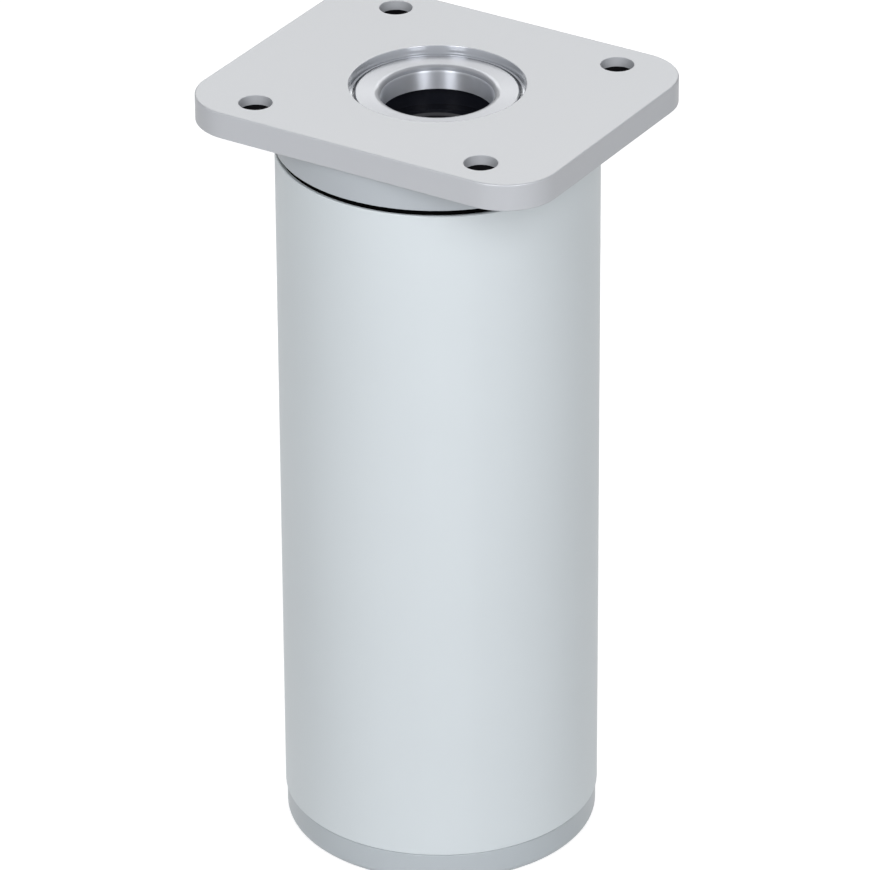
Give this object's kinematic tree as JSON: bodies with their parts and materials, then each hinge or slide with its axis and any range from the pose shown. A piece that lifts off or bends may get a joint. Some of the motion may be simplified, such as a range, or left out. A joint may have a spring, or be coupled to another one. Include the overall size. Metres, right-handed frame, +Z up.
{
  "type": "furniture leg",
  "caption": "Round aluminium furniture leg with a rectangular screw-on plate and a screw-adjusted foot, turned with a key through the plate's centre hole.",
  "frame": {"origin": "on the floor under the middle of the foot, the foot fully retracted", "axes": "+Z up along the tube's axis to the plate, +X along the plate's longer side"},
  "size_m": [0.075, 0.062, 0.1538],
  "materials": {
    "plate_casting": "satin silver lacquer on a zinc die casting",
    "sleeve_silver": "turned and satin plated",
    "black_nylon": "moulded black, matt",
    "anodised_tube": "fine matt anodised",
    "grey_plastic": "moulded silver grey",
    "plated_steel": "bright zinc plated",
    "spring_steel": "dark phosphated",
    "bush_brass": "turned",
    "pad_rubber": "fine grained non-slip rubber"
  },
  "bodies": {
    "leg": {"mounting_plate": "plate_casting", "plate_infill_1": "black_nylon", "plate_infill_2": "black_nylon", "centre_sleeve": "sleeve_silver", "upper_plug": "black_nylon", "plug_screw_1": "plated_steel", "plug_screw_2": "plated_steel", "plug_screw_3": "plated_steel", "plug_screw_4": "plated_steel", "bearing_bush": "bush_brass", "tube": "anodised_tube", "guide_ring": "black_nylon"},
    "spindle": {"spindle": "plated_steel", "thrust_washer": "plated_steel", "retaining_ring": "spring_steel", "end_stop_ring": "spring_steel"},
    "foot": {"foot": "grey_plastic", "foot_nut": "plated_steel", "nut_cap": "black_nylon", "foot_pad": "pad_rubber"}
  },
  "joints": [
    {"name": "spindle_turn", "type": "hinge", "parent": "leg", "child": "spindle", "pos_m": [0, 0, 0.13], "axis": [0, 0, 1], "range_deg": [0, 4320]},
    {"name": "foot_slide", "type": "slide", "parent": "leg", "child": "foot", "axis": [0, 0, -1], "range_m": [0, 0.018]}
  ],
  "couplings": [
    {"joint": "spindle_turn", "follows": "foot_slide", "rad_per_m": 4188.8}
  ]
}
